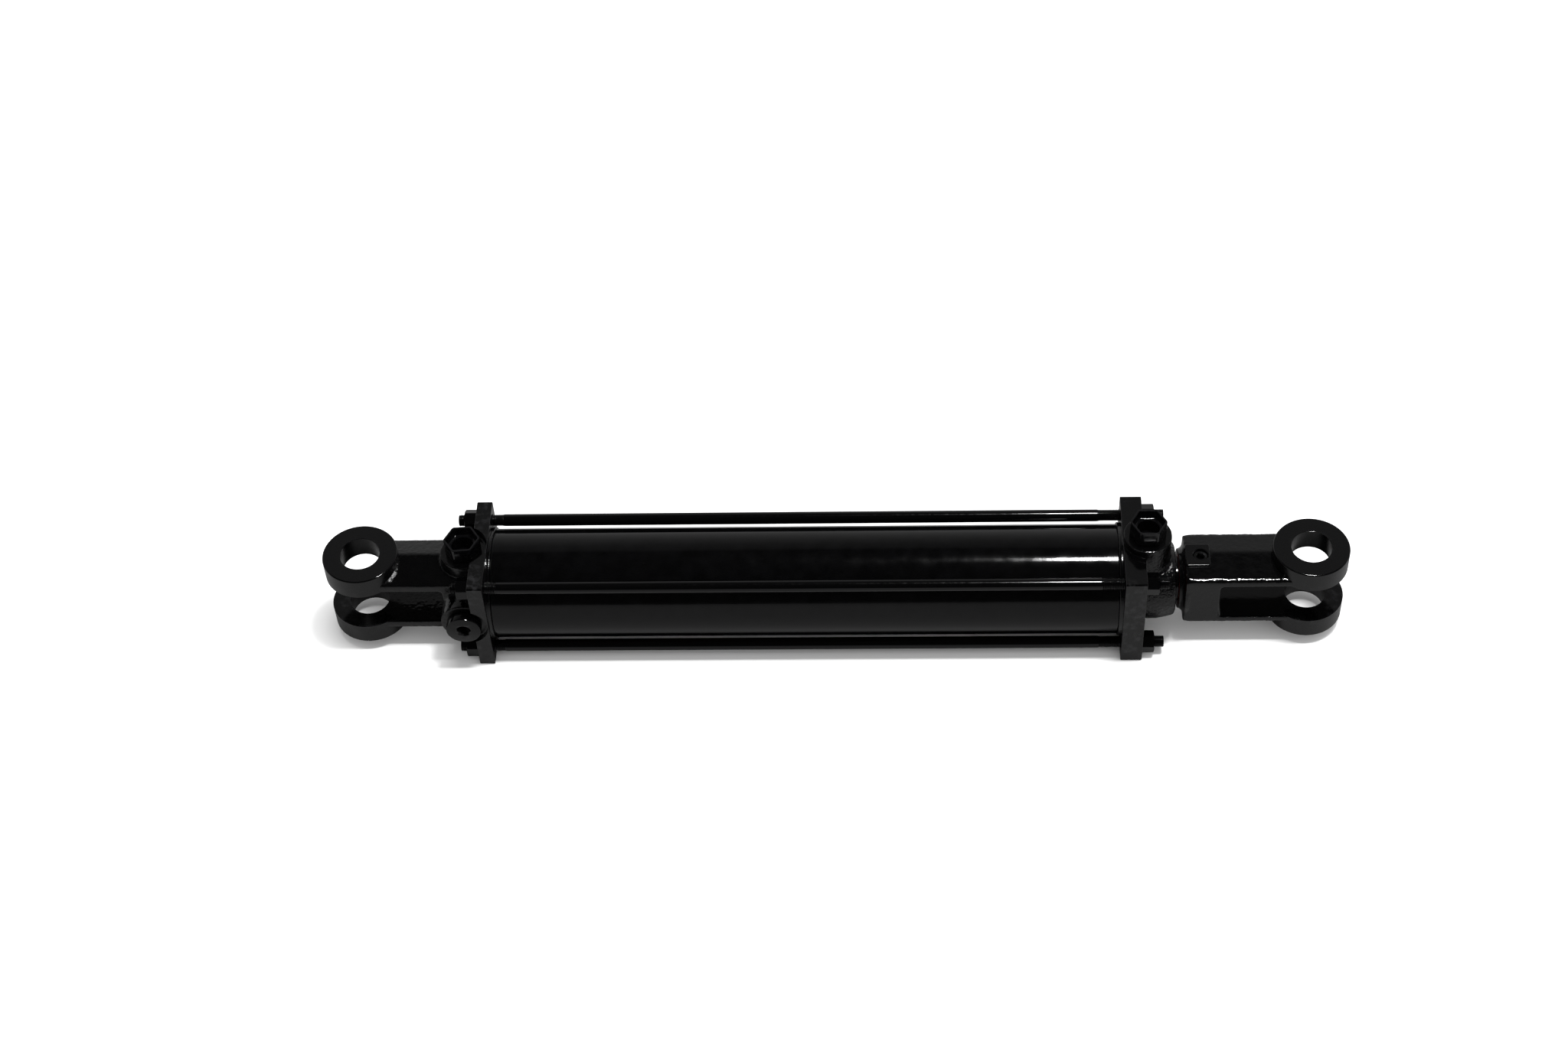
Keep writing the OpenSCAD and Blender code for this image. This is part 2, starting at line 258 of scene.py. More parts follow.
def apply_modifiers(obj):
    graph = bpy.context.evaluated_depsgraph_get()
    mesh = bpy.data.meshes.new_from_object(obj.evaluated_get(graph))
    old = obj.data
    obj.modifiers.clear()
    obj.data = mesh
    bpy.data.meshes.remove(old)


def discard(obj):
    mesh = obj.data
    bpy.data.objects.remove(obj)
    bpy.data.meshes.remove(mesh)


def join(name, parts):
    """One object that holds the meshes of all the parts, which may overlap."""
    work = bmesh.new()
    for part in parts:
        work.from_mesh(part.data)
        discard(part)
    mesh = bpy.data.meshes.new(name)
    work.to_mesh(mesh)
    work.free()
    obj = bpy.data.objects.new(name, mesh)
    bpy.context.scene.collection.objects.link(obj)
    return obj


def combine(obj, others, operation):
    """Adds the other solids to obj, cuts them from it or keeps what they share, and discards them."""
    for other in others:
        step = obj.modifiers.new("combine", "BOOLEAN")
        step.solver = "MANIFOLD"
        step.operation = operation
        step.object = other
        apply_modifiers(obj)
        discard(other)
    return obj


def remesh(obj, voxel, smooth_steps):
    """Rebuilds obj on a grid of voxels and relaxes it, which rounds its edges and fills its corners."""
    grid = obj.modifiers.new("grid", "REMESH")
    grid.mode = "VOXEL"
    grid.voxel_size = voxel
    relax = obj.modifiers.new("relax", "SMOOTH")
    relax.factor = 0.5
    relax.iterations = smooth_steps
    apply_modifiers(obj)
    return obj


def roughen(obj, height, size, share):
    """Moves points along their normals by noise of that height and grain size, times share(point)."""
    mesh = obj.data
    falloff, gap, octaves = 0.8, 2.0, 3
    moved = []
    for vertex in mesh.vertices:
        amount = share(vertex.co)
        if amount > 0:
            bump = noise.fractal(vertex.co / size, falloff, gap, octaves)
            moved.append((vertex.index, vertex.co + vertex.normal * bump * height * amount))
    for index, place in moved:
        mesh.vertices[index].co = place
    return obj


def ramp(value, low, high):
    """0 below low, 1 above high, and a straight line between."""
    return min(max((value - low) / (high - low), 0.0), 1.0)


# ---------------------------------------------------------------- materials

class Shader:
    """A Principled material and short ways to add nodes to it."""

    def __init__(self, name, colour, roughness, metallic=0.0):
        self.material = bpy.data.materials.new(name)
        self.material.use_nodes = True
        self.tree = self.material.node_tree
        self.surface = self.tree.nodes["Principled BSDF"]
        self.surface.inputs["Base Color"].default_value = (*colour, 1)
        self.surface.inputs["Roughness"].default_value = roughness
        self.surface.inputs["Metallic"].default_value = metallic
        self.place = self.tree.nodes.new("ShaderNodeTexCoord").outputs["Object"]

    def link(self, source, target):
        self.tree.links.new(source, target)

    def noise(self, size, detail=3.0, stretch=(1, 1, 1)):
        """Noise with grains of about that size in millimetres, drawn out along an axis by stretch."""
        mapping = self.tree.nodes.new("ShaderNodeMapping")
        mapping.inputs["Scale"].default_value = [1 / (size * MM * s) for s in stretch]
        self.link(self.place, mapping.inputs["Vector"])
        texture = self.tree.nodes.new("ShaderNodeTexNoise")
        texture.inputs["Scale"].default_value = 1.0
        texture.inputs["Detail"].default_value = detail
        self.link(mapping.outputs["Vector"], texture.inputs["Vector"])
        return texture.outputs["Fac"]

    def spread(self, value, low, high, out_low, out_high):
        """Maps value from low..high to out_low..out_high."""
        node = self.tree.nodes.new("ShaderNodeMapRange")
        node.inputs["From Min"].default_value = low
        node.inputs["From Max"].default_value = high
        node.inputs["To Min"].default_value = out_low
        node.inputs["To Max"].default_value = out_high
        self.link(value, node.inputs["Value"])
        return node.outputs["Result"]

    def math(self, operation, a, b):
        node = self.tree.nodes.new("ShaderNodeMath")
        node.operation = operation
        for socket, value in zip(node.inputs, (a, b)):
            if isinstance(value, (int, float)):
                socket.default_value = value
            else:
                self.link(value, socket)
        return node.outputs["Value"]

    def colours(self, share, first, second):
        """Base colour that goes from first to second with share."""
        node = self.tree.nodes.new("ShaderNodeMix")
        node.data_type = "RGBA"
        node.inputs[MIX_A].default_value = (*first, 1)
        node.inputs[MIX_B].default_value = (*second, 1)
        self.link(share, node.inputs["Factor"])
        self.link(node.outputs[MIX_RESULT], self.surface.inputs["Base Color"])

    def roughness(self, value, low, high):
        self.link(self.spread(value, 0.3, 0.7, low, high), self.surface.inputs["Roughness"])

    def bump(self, layers):
        """Bump from (height value, depth in millimetres) layers, one on the next."""
        normal = None
        for value, depth in layers:
            node = self.tree.nodes.new("ShaderNodeBump")
            node.inputs["Distance"].default_value = depth * MM
            self.link(value, node.inputs["Height"])
            if normal is not None:
                self.link(normal, node.inputs["Normal"])
            normal = node.outputs["Normal"]
        self.link(normal, self.surface.inputs["Normal"])

    def edges(self, low, high):
        """1 on sharp outer edges, 0 elsewhere, broken up by noise."""
        point = self.tree.nodes.new("ShaderNodeNewGeometry").outputs["Pointiness"]
        worn = self.spread(point, low, high, 0, 1)
        patches = self.spread(self.noise(4.0), 0.5, 0.68, 0, 1)
        return self.math("MULTIPLY", worn, patches)


INK = (0.0005, 0.0005, 0.00055)
THIN_PAINT = (0.015, 0.015, 0.016)


def cast_enamel(name, grain, depth, low=0.07, high=0.13):
    """Gloss black enamel over a sand casting: sand grain, orange peel and thin paint on the edges."""
    s = Shader(name, INK, low)
    s.colours(s.edges(0.54, 0.62), INK, THIN_PAINT)
    s.roughness(s.noise(7.0), low, high)
    s.bump([(s.noise(grain, 4.0), depth), (s.noise(0.7, 2.0), 0.006)])
    return s.material


def tube_enamel():
    """Gloss black enamel over drawn steel, with faint lines along the tube."""
    s = Shader("black_enamel_tube", INK, 0.12)
    s.surface.inputs["IOR"].default_value = 1.37
    s.colours(s.spread(s.noise(9.0), 0.35, 0.7, 0, 1), INK, (0.001, 0.001, 0.0011))
    s.roughness(s.noise(11.0), 0.05, 0.1)
    s.bump([(s.noise(1.3, 3.0, (60, 1, 1)), 0.006), (s.noise(3.2, 2.0), 0.012)])
    return s.material


def steel_enamel():
    """Gloss black enamel over machined steel bars and nuts."""
    s = Shader("black_enamel_steel", INK, 0.12)
    s.surface.inputs["IOR"].default_value = 1.42
    s.colours(s.edges(0.55, 0.68), INK, THIN_PAINT)
    s.roughness(s.noise(3.0), 0.06, 0.12)
    s.bump([(s.noise(1.6, 3.0, (8, 1, 1)), 0.01)])
    return s.material


def moulded_plastic():
    """Black polyethylene port plug, a little waxy, with a fine moulded grain."""
    s = Shader("black_plastic", (0.0012, 0.0012, 0.0014), 0.18)
    s.surface.inputs["IOR"].default_value = 1.45
    s.roughness(s.noise(2.0), 0.1, 0.18)
    s.bump([(s.noise(0.9, 3.0), 0.006)])
    return s.material


def chrome():
    """Hard chrome with hair-fine polish marks round it, painted where it stands out of the closed head."""
    plated = (0.62, 0.63, 0.65)
    s = Shader("chrome_rod", plated, 0.08, 1.0)
    along = s.tree.nodes.new("ShaderNodeSeparateXYZ")
    s.link(s.place, along.inputs["Vector"])
    painted = s.math("GREATER_THAN", along.outputs["X"], nose_end * MM)
    s.colours(painted, plated, INK)
    s.link(s.math("SUBTRACT", 1.0, painted), s.surface.inputs["Metallic"])
    s.roughness(s.noise(0.5, 4.0, (0.25, 30, 30)), 0.05, 0.13)
    s.bump([(s.noise(0.35, 2.0, (0.4, 40, 40)), 0.0006)])
    return s.material


def turned_steel():
    s = Shader("turned_steel", (0.42, 0.43, 0.44), 0.28, 1.0)
    s.roughness(s.noise(0.6, 3.0, (0.3, 20, 20)), 0.2, 0.4)
    s.bump([(s.noise(0.4, 2.0, (0.4, 30, 30)), 0.004)])
    return s.material


def piston_iron():
    s = Shader("piston_iron", (0.2, 0.2, 0.21), 0.4, 1.0)
    s.roughness(s.noise(0.8, 4.0), 0.32, 0.52)
    s.bump([(s.noise(0.5, 3.0), 0.006)])
    return s.material


def polymer(name, colour, shade, low, high, grain):
    """Rubber or plastic seal with a slightly mottled colour and a matt moulded skin."""
    s = Shader(name, colour, (low + high) / 2)
    s.colours(s.spread(s.noise(3.0), 0.3, 0.7, 0, 1), colour, shade)
    s.roughness(s.noise(1.5), low, high)
    s.bump([(s.noise(grain, 2.0), 0.004)])
    return s.material


def bronze():
    bright = (0.46, 0.27, 0.09)
    s = Shader("bronze", bright, 0.3, 1.0)
    s.colours(s.spread(s.noise(2.5), 0.35, 0.7, 0, 1), bright, (0.34, 0.2, 0.08))
    s.roughness(s.noise(0.8), 0.22, 0.42)
    s.bump([(s.noise(0.5, 2.0), 0.004)])
    return s.material


FINISH = {
    "black_enamel_cast": cast_enamel("black_enamel_cast", 2.4, 0.03),
    "black_enamel_steel": steel_enamel(),
    "black_plastic": moulded_plastic(),
    "chrome_rod": chrome(),
    "turned_steel": turned_steel(),
    "piston_iron": piston_iron(),
    "black_rubber": polymer("black_rubber", (0.008, 0.008, 0.008), (0.014, 0.014, 0.014), 0.4, 0.6, 0.4),
    "red_urethane": polymer("red_urethane", (0.22, 0.02, 0.014), (0.3, 0.035, 0.02), 0.25, 0.4, 0.5),
    "bronze": bronze(),
    "backup_plastic": polymer("backup_plastic", (0.3, 0.13, 0.04), (0.36, 0.17, 0.06), 0.35, 0.5, 0.5),
    "wear_plastic": polymer("wear_plastic", (0.16, 0.1, 0.035), (0.2, 0.13, 0.05), 0.4, 0.6, 0.5),
    "seal_plastic": polymer("seal_plastic", (0.03, 0.11, 0.05), (0.04, 0.15, 0.07), 0.25, 0.4, 0.5),
}
TUBE_FINISH = tube_enamel()
COARSE_FINISH = cast_enamel("black_enamel_coarse", 1.6, 0.6)
SIDE_FINISH = cast_enamel("black_enamel_side", 1.6, 0.03, 0.26, 0.34)


def place(obj, node, slot, material=None, sharp_deg=None):
    """Scales a finished piece to metres and lets it stand for its CAD node."""
    obj.data.transform(Matrix.Scale(MM, 4))
    obj.data.materials.clear()
    obj.data.materials.append(material or FINISH[slot])
    obj.data.shade_smooth()
    if sharp_deg is not None:
        obj.data.set_sharp_from_angle(angle=math.radians(sharp_deg))
    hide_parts(node)
    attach(obj, frame["nodes"][node]["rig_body"])
    return obj


# ---------------------------------------------------------------- shapes that castings share

def rim_steps(x0, x1, edge):
    """(along, inset) steps from x0 to x1 that round both rims by edge."""
    arc = [(edge * (1 - math.sin(t)), edge * (1 - math.cos(t))) for t in EDGE_TURNS]
    steps = [(x0 + along, inset) for along, inset in reversed(arc)]
    steps += [(x1 - along, inset) for along, inset in arc]
    return steps


def disc(name, axis, x0, x1, radius, edge=0.0, centre=(0, 0, 0), segments=96):
    steps = rim_steps(x0, x1, edge) if edge else [(x0, 0), (x1, 0)]
    return stack(name, axis, steps, round_outline(radius, segments), centre)


def square_plate(name, x0, x1, half, cut):
    """Square flange with bevelled corners and rounded rims."""
    def outline(inset):
        h = half - inset
        c = h - cut
        return [(-h, -c), (-c, -h), (c, -h), (h, -c), (h, c), (c, h), (-c, h), (-h, c)]
    return stack(name, "X", rim_steps(x0, x1, 0.4), outline)


def flange_core(x0, x1):
    """Rough plate that the finished flange plate from x0 to x1 covers."""
    inside = 0.8
    return square_plate("core", x0 + inside, x1 - inside, flange_half - 1.0, 3.0)


def ridged_bar(name, x0, x1, half, eave, ridge, ridge_y, eave_r, ridge_r):
    """Bar along X with a low ridge on its top and bottom and rounded eaves."""
    corners = [(-half, -eave), (ridge_y, -ridge), (half, -eave),
               (half, eave), (ridge_y, ridge), (-half, eave)]
    radii = [eave_r, ridge_r, eave_r, eave_r, ridge_r, eave_r]
    outline = rounded(corners, radii)
    rings = [[Vector((x, y, z)) for y, z in outline] for x in (x0, x1)]
    return skin(name, rings)


def slot_cutter(bottom, way):
    """Clevis slot with two rounded corners at its bottom; way is -1 if it opens towards -X."""
    depth = 95.0
    mouth_r = 1.0
    corners = [(bottom + way * depth, -slot_half), (bottom, -slot_half),
               (bottom, slot_half), (bottom + way * depth, slot_half)]
    outline = rounded(corners, [mouth_r, slot_corner_r, slot_corner_r, mouth_r])
    reach = ear_r + 1.0
    rings = [[Vector((x, y, z)) for x, z in outline] for y in (-reach, reach)]
    return skin("slot", rings)


def ears(name, x, bottom, way):
    """Pair of round ears with their slot and their pin bore, whose outer rims are a little rounded."""
    segments = 192
    rim = 0.9
    edge = 0.3
    out = ear_half + 1.0
    centre = (x, 0, 0)
    pair = disc(name, "Z", -ear_half, ear_half, ear_r, rim, centre, segments)
    bore = [(-out, pin_r + edge + 1.0), (-ear_half, pin_r + edge),
            (-ear_half + edge * 0.3, pin_r + edge * 0.3), (-ear_half + edge, pin_r)]
    bore += [(-along, radius) for along, radius in reversed(bore)]
    cuts = [slot_cutter(bottom, way), lathe("pin", "Z", bore, centre, segments=segments)]
    return combine(pair, cuts, "DIFFERENCE")


def pin_clearance(x):
    """Hole that keeps the rough casting clear of the finished pin bore."""
    return disc("pin_clearance", "Z", -ear_half - 1.0, ear_half + 1.0, pin_r + 2.0, 0, (x, 0, 0))


def tie_cutters(x0, x1):
    holes = []
    for sy in (-1, 1):
        for sz in (-1, 1):
            centre = (0, sy * tie_offset, sz * tie_offset)
            holes.append(disc("hole", "X", x0 - 1, x1 + 1, tie_thread_r + 0.3, 0, centre, 48))
    return holes


def spot_cutter(axis, x, top):
    """Room over the flat face of a port, whose face is at top."""
    return disc("spot", axis, top, top + flange_half, spotface_r, 0, (x, 0, 0))


def port_cutters(axis, x, top, bottom):
    """Spot face, threaded hole and passage of a port, whose face is at top."""
    centre = (x, 0, 0)
    return [
        spot_cutter(axis, x, top),
        disc("port", axis, top - port_depth, top + 1, port_r, 0, centre),
        disc("passage", axis, bottom, top - port_depth + 1, passage_r, 0, centre, 48),
    ]


def ring_cutter(x0, x1, r_out, r_in):
    return lathe("ring", "X", [(x0, r_in), (x0, r_out), (x1, r_out), (x1, r_in)], loop=True)


# ---------------------------------------------------------------- castings

def flange(x0, x1, cutters):
    """Machined flange plate with its tie-rod holes, cut by whatever else reaches it."""
    plate = square_plate("flange", x0, x1, flange_half, flange_cut)
    return combine(plate, tie_cutters(x0, x1) + cutters, "DIFFERENCE")


def finish(casting, crisp, node):
    """Joins the finished pieces to a casting, keeps their flat faces flat and dulls the sides."""
    upright = 0.5
    combine(casting, crisp, "UNION")
    place(casting, node, "black_enamel_cast", sharp_deg=35)
    flats = casting.modifiers.new("flats", "WEIGHTED_NORMAL")
    flats.keep_sharp = True
    apply_modifiers(casting)
    casting.data.materials.append(SIDE_FINISH)
    for face in casting.data.polygons:
        face.material_index = 1 if abs(face.normal.z) < upright else 0
    return casting


def base_casting():
    arms_x = 6.0
    port_centre = (base_port_x, 0, 0)
    core = join("base_casting", [
        ridged_bar("arms", arms_x, base_flange_x + 2, half=20.4, eave=20.8, ridge=25.7, ridge_y=3.5,
                   eave_r=1.0, ridge_r=2.0),
        disc("top_boss", "Z", 0, base_boss_top + BOSS_STOCK, boss_r, 0, port_centre),
        disc("side_boss", "F", 0, base_boss_front + BOSS_STOCK, boss_r, 0, port_centre),
        flange_core(base_flange_x, base_flange_end),
    ])
    remesh(core, CORE_VOXEL, smooth_steps=7)
    combine(core, [
        disc("shoulder", "X", base_flange_end - 1, tube_low.x, shoulder_r, 0.5),
        disc("spigot", "X", base_flange_end, base_high.x, spigot_r, 0.8),
    ], "UNION")
    recess_x = base_high.x - base_recess_depth
    cuts = [slot_cutter(base_throat, -1), pin_clearance(0.0)]
    cuts += port_cutters("Z", base_port_x, base_boss_top, 0.0)
    cuts += port_cutters("F", base_port_x, base_boss_front, 0.0)
    cuts += tie_cutters(base_flange_x, base_flange_end)
    cuts.append(disc("passage", "X", base_port_x - passage_r, recess_x + 1, passage_r, 0, segments=48))
    cuts.append(disc("recess", "X", recess_x, base_high.x + 1, base_recess_r))
    cuts.append(ring_cutter(tube_low.x + groove_near, tube_low.x + groove_far,
                            spigot_r + 1, bore_r - groove_depth))
    combine(core, cuts, "DIFFERENCE")
    remesh(core, FINE_VOXEL, smooth_steps=2)

    def cast_skin(p):
        """Rough on the arms and bosses, and plain on the port faces, the flange and beyond."""
        return ramp(base_flange_x - p.x, 0.3, 2.0) * ramp(base_boss_top - p.z, 0.0, 0.5)

    roughen(core, height=0.09, size=2.2, share=cast_skin)
    spots = [spot_cutter("Z", base_port_x, base_boss_top),
             spot_cutter("F", base_port_x, base_boss_front)]
    plate = flange(base_flange_x, base_flange_end, spots)
    return finish(core, [plate, ears("ears", 0.0, base_throat, -1)], "base_cap")


def nose_profile():
    """Nose of the head: straight for a while, then a slight taper to a rounded rim."""
    length = nose_end - head_flange_end
    straight = length * 0.45
    end_r = nose_r - nose_taper
    round_r = 2.4
    profile = [(head_flange_end - 2, nose_r), (head_flange_end + straight, nose_r)]
    for turn in FILLET_TURNS:
        along = nose_end - round_r + round_r * math.sin(turn)
        profile.append((along, end_r - round_r + round_r * math.cos(turn)))
    return profile


def head_casting():
    core = join("head_casting", [
        lathe("nose", "X", nose_profile()),
        disc("boss", "Z", 0, head_boss_top + BOSS_STOCK, boss_r, 0, (head_port_x, 0, 0)),
        flange_core(head_flange_x, head_flange_end),
    ])
    remesh(core, CORE_VOXEL, smooth_steps=7)
    combine(core, [
        disc("shoulder", "X", tube_high.x, head_flange_x + 1, shoulder_r, 0.5),
        disc("spigot", "X", head_low.x, head_flange_x, spigot_r, 0.8),
    ], "UNION")
    seal_x = tube_high.x + 16.0
    gallery = (0, 0, gallery_z)
    cuts = [
        disc("bore", "X", head_low.x - 1, nose_end + 1, rod_r + 0.35),
        disc("bushing", "X", head_low.x - 1, seal_x - 4, rod_r + 2.4),
        disc("seal", "X", seal_x, seal_x + 6.4, rod_r + 4.6),
        disc("wiper", "X", nose_end - 6.2, nose_end + 1, rod_r + 4),
        disc("gallery", "X", head_low.x - 1, head_port_x, 2.5, 0, gallery, 32),
        ring_cutter(tube_high.x - groove_far, tube_high.x - groove_near,
                    spigot_r + 1, bore_r - groove_depth),
    ]
    cuts += port_cutters("Z", head_port_x, head_boss_top, 21.3)
    cuts += tie_cutters(head_flange_x, head_flange_end)
    combine(core, cuts, "DIFFERENCE")
    remesh(core, FINE_VOXEL, smooth_steps=2)

    def cast_skin(p):
        """Rough on the nose and the boss, plain on the flange, the port face and the bore."""
        off_bore = ramp(math.hypot(p.y, p.z), rod_r + 5, rod_r + 6)
        return off_bore * ramp(p.x - head_flange_end, 0.3, 2.0) * ramp(head_boss_top - p.z, 0.0, 0.5)

    roughen(core, height=0.12, size=1.9, share=cast_skin)
    plate = flange(head_flange_x, head_flange_end, [
        disc("bore", "X", head_flange_x - 1, head_flange_end + 1, rod_r + 9.0),
        disc("port", "Z", 0, flange_half + 1, port_r + 1.0, 0, (head_port_x, 0, 0)),
        disc("gallery", "X", head_flange_x - 1, head_flange_end + 1, 3.5, 0, gallery, 32),
    ])
    finish(core, [plate], "head_gland")
    core.data.materials.append(COARSE_FINISH)
    for face in core.data.polygons:
        if cast_skin(face.center / MM) > 0.5:
            face.material_index = 2
    return core


def rod_clevis():
    """Rod clevis, turned at its collar end: a fillet, a flat face and a cone over the long corners."""
    bar = ridged_bar("arms", block_x, rod_pin_x - 6.0, half=21.0, eave=20.3, ridge=23.3, ridge_y=2.2,
                     eave_r=2.6, ridge_r=3.0)
    face_r, cone_r = 27.3, 29.9
    cone = lathe("cone", "X", [(block_x - 1, face_r), (block_x + 12, cone_r), (rod_pin_x + 1, cone_r)])
    combine(bar, [cone], "INTERSECT")
    fillet_r = 3.5
    fillet = [(collar_x + 0.4, collar_r - 0.2)]
    for turn in FILLET_TURNS:
        fillet.append((block_x - fillet_r * (1 - math.sin(turn)), collar_r + fillet_r * (1 - math.cos(turn))))
    fillet.append((block_x + 2, collar_r + fillet_r))
    core = join("rod_clevis_casting", [bar, lathe("fillet", "X", fillet)])
    remesh(core, CORE_VOXEL, smooth_steps=3)
    combine(core, [disc("collar", "X", collar_x, block_x + 1, collar_r, 0.6)], "UNION")
    beside = 1.5
    flat = [(block_x - 1, -pad_half - beside), (pad_end + beside, -pad_half - beside),
            (pad_end + beside, pad_half + beside), (block_x - 1, pad_half + beside)]
    flat_rings = [[Vector((x, y, z)) for x, y in flat] for z in (pad_z - 0.2, pad_z + 10)]
    screw_hole = [(5, screw_r + 0.05), (pad_z - 0.4, screw_r + 0.05), (pad_z + 1, screw_r + 1.4)]
    screw_centre = (screw_x, 0, 0)
    rod_thread_r = 12.75
    cuts = [
        slot_cutter(rod_slot_x, 1),
        pin_clearance(rod_pin_x),
        skin("flat", flat_rings),
        disc("thread", "X", collar_x - 1, rod_slot_x + 1, rod_thread_r),
        disc("counterbore", "X", collar_x - 1, collar_x + 1.5, rod_r + 0.05),
        disc("screw_clearance", "Z", 5, pad_z + 1, screw_r + 1.0, 0, screw_centre),
    ]
    combine(core, cuts, "DIFFERENCE")
    remesh(core, FINE_VOXEL, smooth_steps=2)

    def cast_skin(p):
        """Rough on the arms, plain on the pad and inside the slot."""
        on_outside = 1.0 if abs(p.z) > slot_half + 1.0 or abs(p.y) > 20.0 else 0.0
        return on_outside * ramp(p.x - block_x, 0.3, 1.5)

    roughen(core, height=0.04, size=2.6, share=cast_skin)

    def cast_edge(p):
        """Waves of the parting line along the long corners of the arms."""
        return ramp(abs(p.y) + abs(p.z), 38.0, 40.0) * ramp(p.x - block_x, 1.0, 8.0)

    roughen(core, height=0.22, size=3.0, share=cast_edge)
    pad_edge = 0.4
    pad_steps = rim_steps(13.0 - pad_edge, pad_z, pad_edge)

    def pad_outline(inset):
        h = pad_half - inset
        x0, x1 = block_x + 0.6 + inset, pad_end - inset
        return rounded([(x0, -h), (x1, -h), (x1, h), (x0, h)], [1.0] * 4)

    pad = stack("pad", "Z", pad_steps, pad_outline)
    combine(pad, [lathe("screw", "Z", screw_hole, screw_centre)], "DIFFERENCE")
    return finish(core, [pad, ears("ears", rod_pin_x, rod_slot_x, 1)], "rod_clevis")


# ---------------------------------------------------------------- turned and bought-in parts

def tube():
    """Painted tube with bevelled ends and a bare turned bore."""
    edge = 0.5
    x0, x1 = tube_low.x, tube_high.x
    inner = bore_r + 0.01
    profile = [(x0, inner + edge), (x0, tube_r - edge), (x0 + edge * 0.3, tube_r - edge * 0.3),
               (x0 + edge, tube_r), (x0 + 2 * edge, tube_r), (x1 - 2 * edge, tube_r), (x1 - edge, tube_r),
               (x1 - edge * 0.3, tube_r - edge * 0.3), (x1, tube_r - edge),
               (x1, inner + edge), (x1 - edge, inner), (x0 + edge, inner)]
    shell = lathe("tube_shell", "X", profile, loop=True, segments=192)
    place(shell, "cylinder_tube", "black_enamel_steel", TUBE_FINISH, 35)
    shell.data.materials.append(FINISH["turned_steel"])
    for face in shell.data.polygons:
        distance = math.hypot(face.center.y, face.center.z)
        face.material_index = 1 if distance < (bore_r + 0.3) * MM else 0
    return shell


def thread_radius(x, turn, x0, x1):
    """Radius of a tie rod, with rolled threads that fade out into the shank and chamfer at the tips."""
    into_shank = min(x - (x0 + base_thread_len), (x1 - head_thread_len) - x)
    share = 1 - ramp(into_shank, -1.2 * thread_pitch, 0.0)
    phase = (x / thread_pitch - turn / (2 * math.pi)) % 1.0
    flank = 2.6
    height = min(abs(phase - 0.5) * flank, 1.0)
    root = tie_thread_r - 0.6 * thread_pitch
    cut = root + (tie_thread_r - root) * height
    radius = tie_shank_r + (cut - tie_shank_r) * share
    tip = min(x - x0, x1 - x)
    return min(radius, root + 0.2 + 1.5 * tip)


def tie_rod(sy, sz):
    x0, x1 = tie_low.x, tie_high.x
    y, z = sy * tie_offset, sz * tie_offset
    step = thread_pitch / 6
    places = [x0 + step * k for k in range(int(base_thread_len / step) + 1)]
    shank_x0, shank_x1 = places[-1], x1 - head_thread_len
    places += [shank_x0 + (shank_x1 - shank_x0) * k / 12 for k in range(1, 12)]
    places += [x1 - step * k for k in range(int(head_thread_len / step), -1, -1)]
    segments = 24
    rings = []
    for x in places:
        ring = []
        for k in range(segments):
            turn = 2 * math.pi * k / segments
            r = thread_radius(x, turn, x0, x1)
            ring.append(Vector((x, y + r * math.cos(turn), z + r * math.sin(turn))))
        rings.append(ring)
    return skin("rod", rings)


def tie_rods():
    rods = join("tie_rod_set", [tie_rod(sy, sz) for sy in (-1, 1) for sz in (-1, 1)])
    return place(rods, "tie_rods", "black_enamel_steel", sharp_deg=75)


def hexagon(apothem, turn_deg, corner_cut=0.985, segments=96):
    """Function of an inset that gives a hexagon whose corners are cut a little round."""
    corner = apothem / math.cos(math.pi / 6) * corner_cut

    def outline(inset):
        points = []
        for k in range(segments):
            turn = 2 * math.pi * k / segments
            side = (turn - math.radians(turn_deg)) % (math.pi / 3) - math.pi / 6
            r = min(apothem / math.cos(side), corner) - inset
            points.append((r * math.cos(turn), r * math.sin(turn)))
        return points
    return outline


def nut(x0, x1, apothem, turn_deg, centre):
    """Hexagon nut with turned chamfers on both faces and a countersunk thread."""
    face_r = apothem * 1.04
    slope = math.tan(math.radians(28))
    segments = 96
    hex_outline = hexagon(apothem, turn_deg, 0.985, segments)(0)
    corner = max(math.hypot(a, b) for a, b in hex_outline)
    chamfer = (corner - face_r) * slope
    origin = Vector(centre)

    def ring(x, limit):
        points = []
        for a, b in hex_outline:
            shrink = min(1.0, limit / math.hypot(a, b))
            points.append(origin + Vector((x, a * shrink, b * shrink)))
        return points

    hole = tie_thread_r + 0.03
    flare = 0.4
    depths = [chamfer * k / 5 for k in range(6)]
    rings = [ring(x0 + flare, hole), ring(x0, hole + flare)]
    rings += [ring(x0 + d, face_r + d / slope) for d in depths]
    rings += [ring(x1 - d, face_r + d / slope) for d in reversed(depths)]
    rings += [ring(x1, hole + flare), ring(x1 - flare, hole)]
    return skin("nut", rings, loop=True)


def nut_set(name, node, turn_deg):
    low, high = node_box(node)
    apothem = 6.35
    nuts = []
    for sy in (-1, 1):
        for sz in (-1, 1):
            nuts.append(nut(low.x, high.x, apothem, turn_deg, (0, sy * tie_offset, sz * tie_offset)))
    return place(join(name, nuts), node, "black_enamel_steel", sharp_deg=32)


